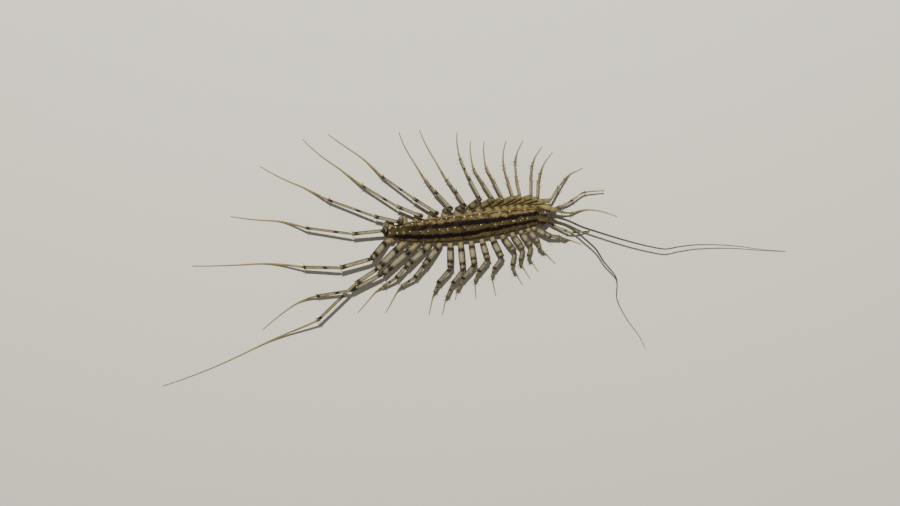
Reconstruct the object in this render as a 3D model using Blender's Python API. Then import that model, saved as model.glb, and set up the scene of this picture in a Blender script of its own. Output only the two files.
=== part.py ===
"""House centipede, life size, standing on a floor at z = 0.

The animal faces +X, its left side is +Y and +Z is up. Sizes below are in
millimetres and are turned into metres when a mesh is made.
"""

import math

import bmesh
import bpy
from mathutils import Vector

MM = 0.001
GAP = 0.3
NAME = "house_centipede"
UP = Vector((0, 0, 1))

# Trunk: stations run from the rear tip (0) to the back of the head
TRUNK_LENGTH = 27.7
TRUNK_HEADINGS = ((0, 3.0), (7, 4.5), (13, 6.0), (18, 9.5), (24, 11.5), (26.6, 6.0), (27.7, -4.0))
PLATE_HALF_WIDTH = ((0, 0.55), (0.8, 0.95), (3, 1.7), (6.5, 2.3), (11.5, 2.6), (16.5, 2.6),
                    (21.5, 2.35), (25.5, 1.9), (27.7, 1.5))
BACK_HEIGHT = ((0, 3.7), (3, 4.5), (8.5, 4.95), (16.5, 5.05), (24.5, 4.85), (27.7, 4.65))
BELLY_HEIGHT = ((0, 3.0), (3, 2.4), (8.5, 2.0), (22.5, 2.1), (27.7, 2.5))
TRUNK_PIECES = (("trunk_rear", 0.0, 9.6), ("trunk_middle", 9.6, 19.4), ("trunk_front", 19.4, TRUNK_LENGTH))
PLATE_EDGES = (0.0, 2.6, 6.0, 9.6, 14.2, 19.4, 23.0, 25.8, TRUNK_LENGTH)
PLATE_STEP = 0.16
FLANK_SHARE = 0.8
TAIL_REACH = 0.5
TAIL_SHRINK = 0.45
RINGS_PER_PLATE = 3
EDGE_NICK = 0.04
PATH_STEPS = 120

# Right half of the trunk's section, from the middle of the back to the belly: half widths as shares
# of the plate or of the flank, and heights in units of RISE_SHARE of the section's height
PLATE_PROFILE = ((0.0, 1.5), (0.42, 1.38), (0.78, 1.02), (1.0, 0.45))
FLANK_PROFILE = ((1.0, 0.15), (1.0, -1.0), (0.62, -1.45))
PLATE_LIP = (0.06, 0.25)
RISE_SHARE = 1 / 2.95

# Head
HEAD_HALF_SIZES = (1.35, 1.38, 0.95)
HEAD_HEADING = -7.0
HEAD_HEIGHT = 3.7
HEAD_BOXINESS = 2.6
HEAD_MESH = (24, 14)
NECK_SLACK = 0.05
CHEEK_TAPER = 0.1
EYE_HALF_SIZES = (0.6, 0.36, 0.4)
EYE_PLACE = (0.48, 1.0, 0.3)
EYE_TURN = 30.0
EYE_MESH = (12, 8)

# Feelers, palps and fangs: direction of the root from the head's centre (ahead, to its side, up),
# then length and heading of each stretch seen from above, with the height at its end
ANTENNA_ROOT = (0.93, 0.3, 0.12)
ANTENNA_RADII = (0.32, 0.12)
FEELER_TAPER = 0.8
FEELER_STEPS = 2
ANTENNA_LEFT = ((2.9, -12), (2.7, -22), (3.4, -17), (5.8, -17), (6.3, -14), (2.6, 3), (3.4, 4),
                (4.7, -4), (4.4, -10), (4.4, -13), (4.6, -8))
ANTENNA_LEFT_HEIGHTS = (4.5, 5.0, 5.4, 5.6, 5.4, 5.0, 4.4, 3.4, 2.2, 1.1, 0.3)
ANTENNA_RIGHT = ((2.6, 13), (2.4, 28), (1.4, 38), (3.6, 44), (3.0, 60), (2.9, 54), (1.9, 60),
                 (1.9, 80), (2.8, 88), (2.5, 70), (3.3, 60), (3.4, 54), (3.2, 64))
ANTENNA_RIGHT_HEIGHTS = (4.4, 4.9, 5.1, 4.9, 4.2, 3.2, 2.2, 1.3, 0.6, 0.27, 0.24, 0.2, 0.12)
PALP_ROOT = (0.45, 0.6, -0.62)
PALP_LEFT = ((2.1, 17), (2.0, 32), (1.9, 37), (1.9, 30), (3.5, 3))
PALP_RIGHT = ((1.6, 36), (1.9, 18), (1.5, 14), (2.0, 8), (1.8, 12))
PALP_LEFT_HEIGHTS = (2.3, 3.0, 3.2, 3.0, 2.6)
PALP_RIGHT_HEIGHTS = (2.2, 3.0, 3.5, 2.6, 0.8)
PALP_RADII = (0.36, 0.14)
FANG_ROOT = (-0.1, 0.78, -0.62)
FANG_PATH = ((0.9, 25), (0.9, -12), (0.8, -48))
FANG_HEIGHTS = (2.15, 1.85, 1.9)
FANG_RADII = (0.3, 0.14)

# Legs: pair 1 is behind the head, pair 15 at the rear
FIRST_HIP = 27.4
HIP_SPACING = 1.27
HIP_SPACING_GROWTH = 0.096
HIP_STAGGER = 1.15
LAST_PAIR = 15
LAST_STRAIGHT_PAIR = 12
COXA_REAR_TURN = 50.0
HIP_HEIGHT = 3.0
COXA_LENGTH = 0.85
COXA_RADIUS = 0.55
COXA_ROOT_SHARE = 0.92
BULGE_PLACE = 0.55
WAIST_SHARE = 0.85
COLLAR_SHARE = 0.88
SEGMENT_RADII = {"left": (0.42, 0.3, 0.27), "right": (0.45, 0.35, 0.29)}
TARSUS_RADIUS = 0.25
TIP_RADIUS = 0.11
JOINT_HALF = 0.3
SPINE_BAND = 0.4
SPINE_LENGTH = 0.55
SPINE_LEAN = (0.75, 0.65)
TOUCH_SHARE = 0.42
TARSUS_RINGS = 8
FLAT_RINGS = (5, 6)
FOOT_LIFT = 0.03
FOOT_SPACING = 1.15
FOOT_TAPER = 1.6
FOOT_FALL = 1.6
SIDES = 6
SHARP_ANGLE = 35

# Stance of each leg, pair 1 first. Lengths seen from above of prefemur, femur, tibia and tarsus,
# their headings and the last heading of the tarsus, then the heights of the three joints.
# A heading is 0 forward, 90 straight out and 180 to the rear.
STANCE_LEFT = (
    ((4.0, 1.5, 2.0, 8.8), (-11, -30, -23, 7, -25), (5.0, 3.9, 2.2)),
    ((4.6, 2.6, 1.7, 3.6), (15, 54, 40, 14, 30), (5.4, 4.1, 2.3)),
    ((3.8, 2.8, 1.0, 4.0), (28, 86, 66, 56, 53), (5.8, 4.4, 2.4)),
    ((4.2, 3.4, 1.4, 3.4), (35, 89, 81, 50, 60), (6.2, 4.7, 2.6)),
    ((3.9, 3.2, 2.4, 3.4), (43, 104, 94, 63, 64), (6.4, 4.9, 2.7)),
    ((4.0, 3.3, 1.9, 3.8), (43, 110, 109, 90, 72), (6.6, 5.0, 2.8)),
    ((3.8, 3.4, 2.1, 4.0), (48, 120, 128, 106, 81), (6.8, 5.2, 2.9)),
    ((3.9, 3.4, 2.4, 4.3), (48, 127, 131, 109, 83), (6.8, 5.2, 2.9)),
    ((3.8, 4.4, 3.2, 4.0), (55, 120, 119, 111, 82), (6.7, 5.4, 2.9)),
    ((2.5, 3.1, 2.0, 9.9), (54, 125, 142, 130, 110), (6.2, 5.5, 2.9)),
    ((2.1, 4.5, 1.8, 9.8), (51, 134, 148, 134, 107), (6.2, 5.6, 2.9)),
    ((1.5, 5.2, 6.8, 11.9), (41, 147, 149, 147, 143), (6.1, 5.8, 3.5)),
    ((1.3, 4.8, 7.4, 13.1), (40, 158, 153, 157, 132), (6.0, 5.8, 3.5)),
    ((0.4, 4.7, 9.2, 13.3), (132, 167, 164, 168, 146), (6.0, 5.8, 3.5)),
    ((0.3, 6.0, 8.9, 14.0), (195, 188, 176, 185, 170), (6.8, 6.3, 4.6)),
)
STANCE_RIGHT = (
    ((3.3, 1.9, 1.7, 3.4), (19, 19, 39, 39, 15), (4.6, 3.5, 2.0)),
    ((2.7, 1.6, 1.8, 3.8), (44, 82, 62, 56, 44), (4.8, 3.7, 2.0)),
    ((2.9, 2.5, 1.8, 3.2), (49, 99, 76, 65, 52), (5.0, 3.8, 2.1)),
    ((3.0, 2.8, 1.6, 4.1), (48, 99, 83, 68, 55), (5.2, 4.0, 2.2)),
    ((3.1, 3.3, 2.4, 3.6), (43, 97, 75, 69, 59), (5.4, 4.1, 2.3)),
    ((3.4, 3.1, 2.4, 4.7), (58, 117, 97, 84, 76), (5.6, 4.3, 2.3)),
    ((3.0, 3.5, 2.7, 4.4), (68, 119, 103, 88, 86), (5.8, 4.4, 2.4)),
    ((3.5, 4.1, 3.1, 2.9), (81, 122, 106, 98, 97), (5.9, 4.5, 2.5)),
    ((4.3, 3.7, 3.8, 4.5), (85, 120, 106, 101, 101), (6.0, 4.6, 2.5)),
    ((3.8, 4.0, 2.7, 5.8), (91, 123, 103, 103, 100), (6.0, 4.6, 2.5)),
    ((4.2, 3.4, 3.8, 6.9), (134, 120, 135, 112, 120), (5.9, 4.5, 2.5)),
    ((5.4, 3.2, 3.5, 8.1), (142, 126, 135, 126, 130), (5.7, 4.9, 2.8)),
    ((7.9, 7.0, 6.9, 13.2), (142, 149, 164, 150, 136), (5.6, 4.8, 2.8)),
    ((6.1, 4.8, 10.8, 34.5), (140, 145, 134, 144, 161), (6.2, 6.4, 6.0)),
    ((3.8, 6.1, 7.1, 21.1), (141, 162, 176, 172, 180), (6.6, 6.3, 4.6)),
)

# Colour, roughness and metallic value of each kind of piece
FINISHES = {
    "trunk": ((0.17, 0.13, 0.06), 0.45, 0.0),
    "head": ((0.2, 0.14, 0.06), 0.4, 0.0),
    "eye": ((0.01, 0.008, 0.012), 0.15, 0.0),
    "leg": ((0.3, 0.27, 0.17), 0.45, 0.0),
    "feeler": ((0.2, 0.15, 0.07), 0.5, 0.0),
    "fang": ((0.24, 0.13, 0.05), 0.35, 0.0),
}


def look_up(table, station):
    """Value of a size at a station, straight between the table's rows."""
    if station <= table[0][0]:
        return table[0][1]
    for (near, low), (far, high) in zip(table, table[1:]):
        if station <= far:
            return low + (high - low) * (station - near) / (far - near)
    return table[-1][1]


def compass(degrees):
    """Level direction for a heading from +X toward +Y."""
    angle = math.radians(degrees)
    return Vector((math.cos(angle), math.sin(angle), 0))


def trunk_point(station):
    """Place on the floor plan under a trunk station."""
    length = station / PATH_STEPS
    place = Vector((0, 0, 0))
    for index in range(PATH_STEPS):
        place += compass(look_up(TRUNK_HEADINGS, (index + 0.5) * length)) * length
    return place


def hip_station(pair, side):
    """Trunk station of a hip: the bent body carries the left ones forward, most at its middle."""
    behind = pair - 1
    station = FIRST_HIP - HIP_SPACING * behind - HIP_SPACING_GROWTH * behind * (behind - 1) / 2
    return station + side * HIP_STAGGER * math.sin(math.pi * behind / (LAST_PAIR - 1)) ** 2


def flank(station):
    """Half width of the trunk below its back plates."""
    return FLANK_SHARE * look_up(PLATE_HALF_WIDTH, station)


def plate_lift(station):
    """Height of a back plate over the front of the one behind it: most at its own rear edge."""
    for rear, front in zip(PLATE_EDGES, PLATE_EDGES[1:]):
        if rear <= station < front:
            return PLATE_STEP * (1 - (station - rear) / (front - rear))
    return 0.0


def trunk_ring(station, lift, shrink=1.0):
    """Cross-section of the trunk: arched plates, their overhanging edges, flanks and belly."""
    half = look_up(PLATE_HALF_WIDTH, station) * shrink
    back = look_up(BACK_HEIGHT, station)
    belly = look_up(BELLY_HEIGHT, station)
    side = flank(station) * shrink
    rise = (back - belly) * RISE_SHARE * shrink
    profile = [(width * half, height * rise + lift) for width, height in PLATE_PROFILE]
    profile.append((half - PLATE_LIP[0], PLATE_LIP[1] * rise))
    profile += [(width * side, height * rise) for width, height in FLANK_PROFILE]
    middle = trunk_point(station) + UP * (back + belly) / 2
    across = compass(look_up(TRUNK_HEADINGS, station) + 90)
    mirrored = [(-width, height) for width, height in profile[:0:-1]]
    return [middle + across * width + UP * height for width, height in profile + mirrored]


def loft(rings):
    """Closed skin through rings of the same number of points."""
    mesh = bmesh.new()
    rows = [[mesh.verts.new(point * MM) for point in ring] for ring in rings]
    for row, following in zip(rows, rows[1:]):
        count = len(row)
        for index in range(count):
            after = (index + 1) % count
            mesh.faces.new((row[index], row[after], following[after], following[index]))
    mesh.faces.new(rows[0][::-1])
    mesh.faces.new(rows[-1])
    bmesh.ops.recalc_face_normals(mesh, faces=mesh.faces)
    return mesh, rows


def make_material(kind, name):
    """Principled material of one piece."""
    colour, roughness, metallic = FINISHES[kind]
    material = bpy.data.materials.new(name)
    material.use_nodes = True
    shader = material.node_tree.nodes["Principled BSDF"]
    shader.inputs["Base Color"].default_value = (*colour, 1)
    shader.inputs["Roughness"].default_value = roughness
    shader.inputs["Metallic"].default_value = metallic
    material.diffuse_color = (*colour, 1)
    return material


def add_piece(name, mesh, kind, collection):
    """Object made from a bmesh, smooth but for its sharp edges."""
    data = bpy.data.meshes.new(name)
    mesh.to_mesh(data)
    mesh.free()
    data.materials.append(make_material(kind, name))
    data.shade_smooth()
    data.set_sharp_from_angle(angle=math.radians(SHARP_ANGLE))
    piece = bpy.data.objects.new(name, data)
    collection.objects.link(piece)
    return piece


def add_trunk(name, rear, front, collection):
    """One length of the trunk with its back plates raised in steps."""
    start = rear + (GAP / 2 if rear > 0 else 0)
    end = front - (GAP if front >= TRUNK_LENGTH else GAP / 2)
    edges = [edge for edge in PLATE_EDGES if rear <= edge <= front]
    rings = []
    if rear == 0:
        rings.append(trunk_ring(-TAIL_REACH, 0.0, TAIL_SHRINK))
    for low, high in zip(edges, edges[1:]):
        first = max(low, start)
        last = min(high, end) - EDGE_NICK
        for index in range(RINGS_PER_PLATE + 1):
            station = first + (last - first) * index / RINGS_PER_PLATE
            rings.append(trunk_ring(station, plate_lift(station)))
    mesh, _ = loft(rings)
    return add_piece(name, mesh, "trunk", collection)


def head_frame():
    """Centre of the head and its directions ahead and to the left."""
    ahead = compass(HEAD_HEADING)
    left = compass(HEAD_HEADING + 90)
    centre = trunk_point(TRUNK_LENGTH) + ahead * (HEAD_HALF_SIZES[0] + NECK_SLACK) + UP * HEAD_HEIGHT
    return centre, ahead, left


def head_reach(direction):
    """How far the head capsule goes from its centre in a direction of its own frame."""
    total = sum(abs(part / half) ** HEAD_BOXINESS for part, half in zip(direction, HEAD_HALF_SIZES))
    return total ** (-1 / HEAD_BOXINESS)


def add_head(collection):
    """Domed head capsule with a socket for each eye."""
    centre, ahead, left = head_frame()
    mesh = bmesh.new()
    bmesh.ops.create_uvsphere(mesh, u_segments=HEAD_MESH[0], v_segments=HEAD_MESH[1], radius=1)
    for vert in mesh.verts:
        direction = vert.co.normalized()
        local = direction * head_reach(direction)
        cheek = 1 - CHEEK_TAPER * max(0.0, local.x / HEAD_HALF_SIZES[0]) ** 2
        vert.co = (centre + ahead * local.x + left * local.y * cheek + UP * local.z) * MM
    head = add_piece("head", mesh, "head", collection)
    for side in (1, -1):
        socket = add_eye(f"socket_{side}", side, GAP, collection)
        cut = head.modifiers.new("socket", "BOOLEAN")
        cut.operation = "DIFFERENCE"
        cut.object = socket
        bpy.context.view_layer.objects.active = head
        bpy.context.view_layer.update()
        bpy.ops.object.modifier_apply(modifier=cut.name)
        bpy.data.objects.remove(socket, do_unlink=True)
    return head


def add_eye(name, side, grow, collection):
    """Compound eye at the front corner of the head, or its socket when grown."""
    centre, ahead, left = head_frame()
    half_sizes = [half + grow for half in EYE_HALF_SIZES]
    mesh = bmesh.new()
    bmesh.ops.create_uvsphere(mesh, u_segments=EYE_MESH[0], v_segments=EYE_MESH[1], radius=1)
    turn = math.radians(-EYE_TURN * side)
    x, y, z = EYE_PLACE
    place = centre + ahead * x + left * (y * side) + UP * z
    along = ahead * math.cos(turn) + left * math.sin(turn)
    across = left * math.cos(turn) - ahead * math.sin(turn)
    for vert in mesh.verts:
        x, y, z = [value * half for value, half in zip(vert.co, half_sizes)]
        vert.co = (place + along * x + across * y + UP * z) * MM
    return add_piece(name, mesh, "eye", collection)


def chain(start, stretches, heights, side):
    """Points of a feeler: stretches seen from above, joined at their heights."""
    points = [start.copy()]
    level = Vector((start.x, start.y, 0))
    for (length, heading), height in zip(stretches, heights):
        level = level + compass(heading * side) * length
        points.append(level + UP * height)
    return points


def tube_rings(points, radii, first_direction=None):
    """Rings square to a path, each with a flat underside."""
    rings = []
    last = len(points) - 1
    for index, (point, radius) in enumerate(zip(points, radii)):
        ahead = points[min(index + 1, last)] - point
        behind = point - points[max(index - 1, 0)]
        if index == 0 and first_direction is not None:
            along = first_direction
        else:
            along = (ahead.normalized() + behind.normalized()).normalized()
        across = UP.cross(along).normalized()
        over = along.cross(across)
        ring = []
        for corner in range(SIDES):
            angle = 2 * math.pi * (corner + 1) / SIDES
            ring.append(point + (across * math.cos(angle) + over * math.sin(angle)) * radius)
        rings.append(ring)
    return rings


def smooth_path(points, per_stretch):
    """Points of an even curve through the given ones."""
    out = []
    last = len(points) - 1
    for index in range(last):
        a = points[max(index - 1, 0)]
        b = points[index]
        c = points[index + 1]
        d = points[min(index + 2, last)]
        for step in range(per_stretch):
            t = step / per_stretch
            out.append(0.5 * ((2 * b) + (c - a) * t + (2 * a - 5 * b + 4 * c - d) * t * t
                              + (3 * b - a - 3 * c + d) * t ** 3))
    out.append(points[last])
    return out


def add_feeler(name, root, stretches, heights, radii, side, kind, collection):
    """Antenna, palp or fang: a tapering tube that starts just clear of the head."""
    centre, ahead, left = head_frame()
    direction = Vector(root).normalized()
    outward = ahead * direction.x + left * (direction.y * side) + UP * direction.z
    start = centre + outward * (head_reach(direction) + GAP)
    points = smooth_path(chain(start, stretches, heights, side), FEELER_STEPS)
    count = len(points) - 1
    shares = [(index / count) ** FEELER_TAPER for index in range(count + 1)]
    sizes = [radii[0] + (radii[1] - radii[0]) * share for share in shares]
    for point, size in zip(points, sizes):
        point.z = max(point.z, size)
    mesh, _ = loft(tube_rings(points, sizes, outward))
    return add_piece(name, mesh, kind, collection)


def leg_path(pair, side, lengths, headings, heights):
    """Joint points of a leg from its root beside the trunk to the end of its tibia.

    The coxae of the last pairs turn to the rear.
    """
    station = hip_station(pair, side)
    heading = look_up(TRUNK_HEADINGS, station) + 90 * side
    outward = compass(heading)
    base = trunk_point(station) + UP * HIP_HEIGHT
    root = base + outward * (flank(station) + GAP)
    turned = max(0, pair - LAST_STRAIGHT_PAIR) / (LAST_PAIR - LAST_STRAIGHT_PAIR)
    hip = root + compass(heading + COXA_REAR_TURN * turned * side) * COXA_LENGTH
    joints = [hip]
    level = Vector((hip.x, hip.y, 0))
    for length, turn, height in zip(lengths, headings, heights):
        level = level + compass(turn * side) * length
        joints.append(level + UP * height)
    return root, outward, joints


def tarsus_path(start, length, first, last, side):
    """Long many-jointed foot: it bends down to the floor and lies along it to its tip.

    It bears on the small flat between two of its rings.
    """
    points = []
    radii = []
    place = Vector((start.x, start.y, 0))
    fall = start.z
    previous = 0.0
    for index in range(1, TARSUS_RINGS + 1):
        share = (index / TARSUS_RINGS) ** FOOT_SPACING
        heading = first + (last - first) * (share + previous) / 2
        place = place + compass(heading * side) * length * (share - previous)
        radius = TARSUS_RADIUS + (TIP_RADIUS - TARSUS_RADIUS) * share ** FOOT_TAPER
        rest = radius * math.cos(math.radians(180 / SIDES))
        if index not in FLAT_RINGS:
            rest += FOOT_LIFT
        down = min(1.0, share / TOUCH_SHARE)
        height = rest + (fall - rest) * (1 - down) ** FOOT_FALL
        points.append(place + UP * height)
        radii.append(radius)
        previous = share
    return points, radii


def add_leg(name, pair, side, stance, segment_radii, collection):
    """Whole leg: coxa, prefemur, femur, tibia and tarsus, with spines at the joints."""
    lengths, headings, heights = stance
    root, outward, joints = leg_path(pair, side, lengths, headings, heights)
    points = [root, root + outward * COXA_LENGTH * BULGE_PLACE]
    radii = [COXA_RADIUS * COXA_ROOT_SHARE, COXA_RADIUS]
    spined = []
    for index, radius in enumerate(segment_radii):
        start, end = joints[index], joints[index + 1]
        along = (end - start).normalized()
        reach = (end - start).length
        points.append(start + along * JOINT_HALF)
        radii.append(radius * WAIST_SHARE)
        points.append(start + along * reach * BULGE_PLACE)
        radii.append(radius)
        spined.append(len(points))
        points.append(end - along * (JOINT_HALF + SPINE_BAND))
        radii.append(radius)
        points.append(end - along * JOINT_HALF)
        radii.append(radius * COLLAR_SHARE)
    foot, foot_radii = tarsus_path(joints[3], lengths[3], headings[3], headings[4], side)
    points += foot
    radii += foot_radii
    mesh, rows = loft(tube_rings(points, radii, outward))
    for row in spined:
        along = (points[row + 1] - points[row]).normalized()
        for corner in (0, 2, 4):
            ring, following = rows[row], rows[row + 1]
            after = (corner + 1) % SIDES
            corners = {ring[corner], ring[after], following[after], following[corner]}
            face = next(face for face in mesh.faces if set(face.verts) == corners)
            raise_spine(mesh, face, along)
    return add_piece(name, mesh, "leg", collection)


def raise_spine(mesh, face, along):
    """Draw one face out to a spine that leans toward the foot."""
    lean = (face.normal * SPINE_LEAN[0] + along * SPINE_LEAN[1]).normalized() * SPINE_LENGTH * MM
    tip = mesh.verts.new(face.calc_center_median() + lean)
    loop = list(face.verts)
    mesh.faces.remove(face)
    for index, vert in enumerate(loop):
        mesh.faces.new((vert, loop[(index + 1) % len(loop)], tip))


def centre_on_origin(collection):
    """Put the middle of the whole footprint over the origin."""
    bpy.context.view_layer.update()
    places = [vert.co for piece in collection.objects for vert in piece.data.vertices]
    middle = [(min(p[i] for p in places) + max(p[i] for p in places)) / 2 for i in (0, 1)]
    shift = Vector((-middle[0], -middle[1], 0))
    for piece in collection.objects:
        for vert in piece.data.vertices:
            vert.co += shift


def main():
    """Build every piece of the animal."""
    for old in list(bpy.data.objects):
        bpy.data.objects.remove(old, do_unlink=True)
    collection = bpy.data.collections.new(NAME)
    bpy.context.scene.collection.children.link(collection)
    for name, rear, front in TRUNK_PIECES:
        add_trunk(name, rear, front, collection)
    add_head(collection)
    for word, side, antenna, antenna_heights, palp, palp_heights, stances in (
        ("left", 1, ANTENNA_LEFT, ANTENNA_LEFT_HEIGHTS, PALP_LEFT, PALP_LEFT_HEIGHTS, STANCE_LEFT),
        ("right", -1, ANTENNA_RIGHT, ANTENNA_RIGHT_HEIGHTS, PALP_RIGHT, PALP_RIGHT_HEIGHTS, STANCE_RIGHT),
    ):
        add_eye(f"eye_{word}", side, 0.0, collection)
        add_feeler(f"antenna_{word}", ANTENNA_ROOT, antenna, antenna_heights, ANTENNA_RADII, side,
                   "feeler", collection)
        add_feeler(f"palp_{word}", PALP_ROOT, palp, palp_heights, PALP_RADII, side, "feeler", collection)
        add_feeler(f"fang_{word}", FANG_ROOT, FANG_PATH, FANG_HEIGHTS, FANG_RADII, side, "fang", collection)
        for pair, stance in enumerate(stances, start=1):
            add_leg(f"leg_{word}_{pair:02d}", pair, side, stance, SEGMENT_RADII[word], collection)
    centre_on_origin(collection)


main()
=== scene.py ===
# House centipede on a plain pale floor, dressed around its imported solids
import random
from math import atan2, copysign, cos, exp, hypot, pi, radians, sin

import bmesh
import bpy
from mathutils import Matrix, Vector, noise


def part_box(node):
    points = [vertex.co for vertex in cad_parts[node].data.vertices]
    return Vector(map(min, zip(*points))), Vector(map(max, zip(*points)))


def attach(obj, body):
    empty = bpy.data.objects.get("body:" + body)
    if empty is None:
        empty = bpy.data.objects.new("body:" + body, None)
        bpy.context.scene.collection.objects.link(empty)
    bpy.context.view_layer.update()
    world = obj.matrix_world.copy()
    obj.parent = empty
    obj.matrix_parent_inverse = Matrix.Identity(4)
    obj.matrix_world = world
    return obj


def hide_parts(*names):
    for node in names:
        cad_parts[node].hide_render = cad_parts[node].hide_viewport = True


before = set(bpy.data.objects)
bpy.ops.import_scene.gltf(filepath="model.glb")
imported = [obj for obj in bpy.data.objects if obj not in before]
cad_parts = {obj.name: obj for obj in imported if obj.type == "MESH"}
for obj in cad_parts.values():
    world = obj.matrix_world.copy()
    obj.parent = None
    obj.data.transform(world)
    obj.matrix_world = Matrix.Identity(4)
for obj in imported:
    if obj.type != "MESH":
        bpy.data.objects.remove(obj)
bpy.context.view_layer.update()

mm = 0.001
up = Vector((0, 0, 1))
bakeMap = "OFBake"
wholeMap = (0.01, 0.01, 0.99, 0.99)
sideSigns = {"left": 1, "right": -1}


# Small helpers

def mix(start, end, share):
    return start + (end - start) * share


def clamp(value):
    return min(1, max(0, value))


def ease(low, high, value):
    share = clamp((value - low) / (high - low))
    return share * share * (3 - 2 * share)


def bell(value, middle, width):
    return exp(-((value - middle) / width) ** 2)


def rough(point, size):
    return noise.noise(point / (size * mm))


def newShape():
    return {"points": [], "faces": [], "corners": [], "dark": [], "gold": []}


def addPoint(shape, place, dark=0.0, gold=0.0):
    shape["points"].append(place)
    shape["dark"].append(dark)
    shape["gold"].append(gold)
    return len(shape["points"]) - 1


def addFace(shape, indices, corners):
    shape["faces"].append(indices)
    shape["corners"].append(corners)


def toward(place, other, length):
    return place + (other - place).normalized() * length * mm


def taper(look, share):
    return mix(look["start"], look["end"], share)


def leftOf(ahead):
    return Vector((-ahead.y, ahead.x, 0))


def addObject(name, data):
    made = bpy.data.objects.new(name, data)
    bpy.context.scene.collection.objects.link(made)
    return made


def newMaterial(name):
    material = bpy.data.materials.new(name)
    material.use_nodes = True
    return material, material.node_tree.nodes["Principled BSDF"]


def finishPiece(name, shape, shell, replaced, sharp=None):
    mesh = bpy.data.meshes.new(name)
    mesh.from_pydata(shape["points"], [], shape["faces"])
    layer = mesh.uv_layers.new(name=bakeMap)
    flat = [value for corners in shape["corners"] for corner in corners for value in corner]
    layer.data.foreach_set("uv", flat)
    for key in ("dark", "gold"):
        tone = mesh.attributes.new(name=key, type="FLOAT", domain="POINT")
        tone.data.foreach_set("value", shape[key])
    mesh.shade_smooth()
    if sharp is not None:
        mesh.set_sharp_from_angle(angle=radians(sharp))
    mesh.materials.append(materials[shell])
    piece = addObject(name, mesh)
    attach(piece, "root")
    if replaced:
        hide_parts(*replaced)


def joinRings(shape, rows, mapPlace):
    sides = len(rows[0])
    last = len(rows) - 1
    for index, (first, second) in enumerate(zip(rows, rows[1:])):
        near, far = index / last, (index + 1) / last
        for side in range(sides):
            after = (side + 1) % sides
            start, end = side / sides, (side + 1) / sides
            addFace(shape, (first[side], first[after], second[after], second[side]),
                    (mapPlace(near, start), mapPlace(near, end), mapPlace(far, end), mapPlace(far, start)))


def alongMap(along, around):
    return along, around


def aroundMap(along, around):
    return around, along


def wrapRings(shape, rows, mapPlace):
    joinRings(shape, rows, mapPlace)
    sides = len(rows[0])
    for row, along, turn in ((rows[0], 0, -1), (rows[-1], 1, 1)):
        corners = [mapPlace(along, side / sides) for side in range(sides)]
        addFace(shape, tuple(row[::turn]), tuple(corners[::turn]))


def nearby(rows, index, shifts):
    return [rows[min(max(index + shift, 0), len(rows) - 1)] for shift in shifts]


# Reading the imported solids: a tube's rings, from the root end to the tip

solidSides = 6  # of every packed leg and feeler


def flatPatch(face):
    patch = set()
    fresh = {face}
    while fresh:
        patch |= fresh
        around = {other for member in fresh for side in member.edges for other in side.link_faces}
        fresh = {other for other in around - patch if other.normal.angle(face.normal) < 0.02}
    return {vert for member in patch for vert in member.verts}


def walkRings(name, near):
    mesh = bmesh.new()
    mesh.from_mesh(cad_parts[name].data)
    bmesh.ops.remove_doubles(mesh, verts=mesh.verts, dist=0.000001)
    start = min(mesh.verts, key=lambda vert: (vert.co - near).length)
    caps = [flatPatch(face) for face in start.link_faces]
    ring = next(cap for cap in caps if len(cap) == solidSides)
    seen = set(ring)
    rings = []
    while ring:
        rings.append(sorted((vert.co.copy() for vert in ring), key=tuple))
        ring = {side.other_vert(vert) for vert in ring for side in vert.link_edges} - seen
        seen |= ring
        if len(ring) > solidSides:  # the points of spines have four edges
            ring = {vert for vert in ring if len(vert.link_edges) > 4}
    mesh.free()
    return rings


def ringMiddle(ring):
    return sum(ring, Vector()) / len(ring)


def boxMiddle(name):
    low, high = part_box(name)
    return (Vector(low) + Vector(high)) / 2


def nearestPlace(name, target):
    return min((vert.co.copy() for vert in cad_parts[name].data.vertices),
               key=lambda place: (place - target).length)


# Smooth lines and tubes

def curveThrough(points, step):
    fine = []
    last = len(points) - 1
    for index in range(last):
        before, start, end, beyond = nearby(points, index, (-1, 0, 1, 2))
        parts = max(1, round((end - start).length / step))
        for part in range(parts):
            share = part / parts
            bow = (2 * before - 5 * start + 4 * end - beyond) * share * share
            turn = (3 * start - before - 3 * end + beyond) * share ** 3
            fine.append(0.5 * (2 * start + (end - before) * share + bow + turn))
    fine.append(points[last])
    return fine


def tubeFrames(points):
    frames = []
    for index in range(len(points)):
        before, beyond = nearby(points, index, (-1, 1))
        along = (beyond - before).normalized()
        across = up.cross(along)
        if across.length < 0.05:
            across = frames[-1][1] if frames else Vector((0, 1, 0))
        across = (across - along * across.dot(along)).normalized()
        frames.append((along, across, along.cross(across)))
    return frames


def sideways(tubeFrame, angle):
    return tubeFrame[1] * cos(angle) + tubeFrame[2] * sin(angle)


def tubeCorner(area, share, angle):
    left, low, right, high = area
    return mix(left, right, share), mix(low, high, (angle / 2 / pi + 0.25) % 1)


def addTube(shape, points, radii, sides, tone, area, ridge=0.0, flatten=1.0):
    if callable(radii):
        radii = [radii(index / (len(points) - 1)) for index in range(len(points))]
    frames = tubeFrames(points)
    left, low, right, high = area
    rows = []
    for index, (point, radius) in enumerate(zip(points, radii)):
        _, across, over = frames[index]
        row = []
        for side in range(sides):
            angle = 2 * pi * side / sides - pi / 2
            reach = radius * (1 + ridge * cos(3 * angle))
            offset = across * cos(angle) * reach * flatten + over * sin(angle) * reach
            dark, gold = tone(index / (len(points) - 1), angle, point + offset)
            row.append(addPoint(shape, point + offset, dark, gold))
        rows.append(row)

    def mapPlace(share, around):
        return mix(left, right, share), mix(low, high, around)

    wrapRings(shape, rows, mapPlace)
    return {"line": points, "radii": radii, "frames": frames, "area": area}


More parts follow.
